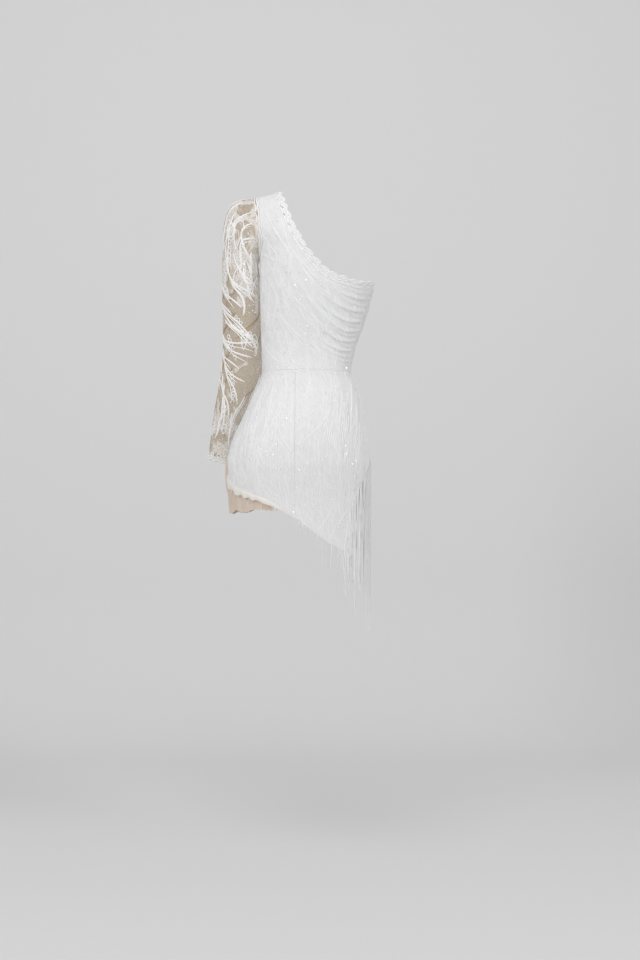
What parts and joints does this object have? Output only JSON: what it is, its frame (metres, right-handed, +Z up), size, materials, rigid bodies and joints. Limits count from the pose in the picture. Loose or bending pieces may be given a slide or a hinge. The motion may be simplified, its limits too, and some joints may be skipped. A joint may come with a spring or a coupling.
{
  "type": "short one-shoulder lace wedding dress",
  "caption": "Short fitted one-shoulder lace wedding dress with one long sheer sleeve, a slanted hem and side fringe, in hollow worn form",
  "frame": {"origin": "the underside of the strap on the wearer's left shoulder, where the dress hangs on its wearer", "axes": "+Z up, the wearer faces -Y, +X is the wearer's left"},
  "size_m": [0.3824, 0.2523, 1.0049],
  "materials": {
    "white_lace": "matt corded lace over a white lining",
    "corded_lace": "matt corded edging",
    "nude_tulle": "sheer nude tulle with white corded lace",
    "nude_lining": "matt nude lining",
    "fringe_thread": "soft white thread"
  },
  "bodies": {
    "root": {"back_bodice": "white_lace", "front_bodice": "white_lace", "back_skirt_left": "white_lace", "back_skirt_right": "white_lace", "front_skirt": "white_lace", "side_lining": "nude_lining", "sleeve_back": "nude_tulle", "sleeve_front": "nude_tulle", "neckline_lace_back": "corded_lace", "neckline_lace_front": "corded_lace", "cuff_lace_back": "corded_lace", "cuff_lace_front": "corded_lace", "fringe_right_back": "fringe_thread", "fringe_back_right": "fringe_thread", "fringe_back_left": "fringe_thread", "fringe_front_right": "fringe_thread", "fringe_front_left": "fringe_thread"}
  },
  "joints": []
}
